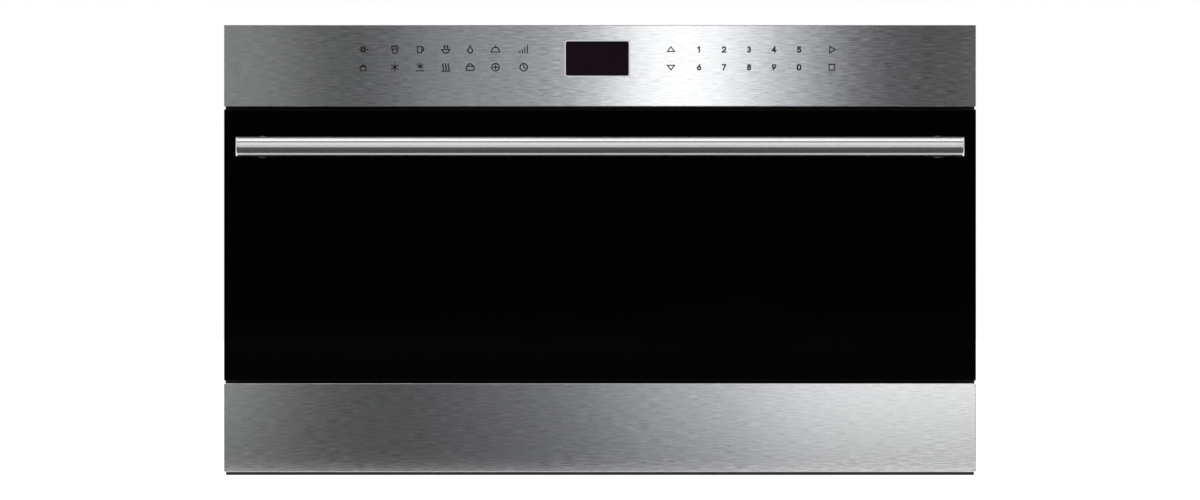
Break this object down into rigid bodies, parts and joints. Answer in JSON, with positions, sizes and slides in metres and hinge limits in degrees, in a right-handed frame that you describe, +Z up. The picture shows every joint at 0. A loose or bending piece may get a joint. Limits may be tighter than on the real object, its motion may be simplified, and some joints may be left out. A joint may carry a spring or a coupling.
{
  "type": "built-in microwave oven",
  "caption": "Built-in microwave oven with a brushed steel control panel, a full-width black glass drop-down door with a bar handle and a lower steel panel.",
  "frame": {"origin": "on the base plane, midway across, level with the rear of the front frame's sheet", "axes": "+X to the right seen from the front, +Y towards the rear panel, +Z up"},
  "size_m": [0.7588, 0.602, 0.454],
  "materials": {
    "face_steel": "fine horizontal brushing",
    "handle_steel": "fine brushing, almost polished",
    "door_glass": "opaque black, polished",
    "display_glass": "dark, glossy",
    "clear_glass": "clear",
    "ceramic": "smooth glass ceramic",
    "casing_steel": "zinc-coated sheet",
    "cavity_enamel": "light grey enamel",
    "dark_paint": "satin black",
    "dark_plastic": "fine moulded grain",
    "pale_plastic": "moulded",
    "board_green": "solder mask",
    "bare_aluminium": "extruded",
    "motor_steel": "plated and varnished",
    "spring_steel": "bright"
  },
  "bodies": {
    "case": {"base_plate": "casing_steel", "bottom_strip": "dark_paint", "casing_screws": "spring_steel", "cavity_back_wall": "cavity_enamel", "cavity_ceiling": "cavity_enamel", "cavity_floor": "cavity_enamel", "cavity_lamp": "clear_glass", "cavity_left_wall": "cavity_enamel", "cavity_right_wall": "cavity_enamel", "ceramic_floor": "ceramic", "control_board": "board_green", "control_fascia": "face_steel", "control_housing": "dark_plastic", "cord_gland": "dark_plastic", "display_module": "dark_plastic", "display_window": "display_glass", "door_spring_left": "spring_steel", "door_spring_right": "spring_steel", "door_switches": "pale_plastic", "exhaust_duct": "casing_steel", "fan_duct": "dark_plastic", "fan_motor": "motor_steel", "front_frame": "dark_paint", "hinge_bracket_left": "casing_steel", "hinge_bracket_right": "casing_steel", "hinge_pins": "spring_steel", "inverter_board": "board_green", "inverter_heatsink": "bare_aluminium", "inverter_transformer": "motor_steel", "lamp_holder": "pale_plastic", "left_side_panel": "casing_steel", "lower_trim": "face_steel", "magnetron": "motor_steel", "noise_filter_board": "board_green", "rear_panel": "casing_steel", "right_side_panel": "casing_steel", "stirrer_motor": "motor_steel", "switch_holders": "dark_plastic", "thermal_cutouts": "pale_plastic", "top_cover": "casing_steel", "touch_sheet": "pale_plastic", "waveguide": "casing_steel"},
    "door": {"door_glass": "door_glass", "door_frame": "dark_paint", "choke_cover": "dark_plastic", "door_inner_glass": "clear_glass", "door_screen": "dark_paint", "handle_bar": "handle_steel", "handle_posts": "handle_steel", "handle_screws": "spring_steel", "hinge_arm_left": "casing_steel", "hinge_arm_right": "casing_steel", "interlock_tongues": "dark_plastic"},
    "stirrer": {"stirrer": "bare_aluminium"},
    "fan": {"fan_blades": "pale_plastic"},
    "roller_left": {"hinge_roller_left": "dark_plastic"},
    "roller_right": {"hinge_roller_right": "dark_plastic"},
    "plunger_left": {"plunger_left": "pale_plastic"},
    "plunger_right": {"plunger_right": "pale_plastic"},
    "plunger_monitor": {"plunger_monitor": "pale_plastic"}
  },
  "joints": [
    {"name": "door_hinge", "type": "hinge", "parent": "case", "child": "door", "pos_m": [0, -0.028, 0.1113], "axis": [1, 0, 0], "range_deg": [0, 90], "stiffness_Nm_per_rad": 4, "springref_deg": -34.38, "deforming": ["door_spring_left", "door_spring_right"]},
    {"name": "stirrer_spin", "type": "hinge", "parent": "case", "child": "stirrer", "pos_m": [0, 0.2025, 0.12], "axis": [0, 0, 1], "continuous": true},
    {"name": "fan_spin", "type": "hinge", "parent": "case", "child": "fan", "pos_m": [0.11, 0.4529, 0.1572], "axis": [1, 0, 0], "continuous": true},
    {"name": "roller_left_spin", "type": "hinge", "parent": "case", "child": "roller_left", "pos_m": [-0.318, 0.01097, 0.19882], "axis": [1, 0, 0], "range_deg": [0, 1330]},
    {"name": "roller_right_spin", "type": "hinge", "parent": "case", "child": "roller_right", "pos_m": [0.318, 0.01097, 0.19882], "axis": [1, 0, 0], "range_deg": [0, 1330]},
    {"name": "plunger_left_slide", "type": "slide", "parent": "case", "child": "plunger_left", "axis": [0, -1, 0], "range_m": [0, 0.0025]},
    {"name": "plunger_right_slide", "type": "slide", "parent": "case", "child": "plunger_right", "axis": [0, -1, 0], "range_m": [0, 0.0025]},
    {"name": "plunger_monitor_slide", "type": "slide", "parent": "case", "child": "plunger_monitor", "axis": [0, -1, 0], "range_m": [0, 0.0025]}
  ],
  "couplings": [
    {"joint": "roller_left_spin", "follows": "door_hinge", "ratio": 14.714},
    {"joint": "roller_right_spin", "follows": "door_hinge", "ratio": 14.714},
    {"joint": "plunger_left_slide", "follows": "door_hinge", "m_per_rad": 0.00159},
    {"joint": "plunger_right_slide", "follows": "door_hinge", "m_per_rad": 0.00159},
    {"joint": "plunger_monitor_slide", "follows": "door_hinge", "m_per_rad": 0.00159}
  ]
}
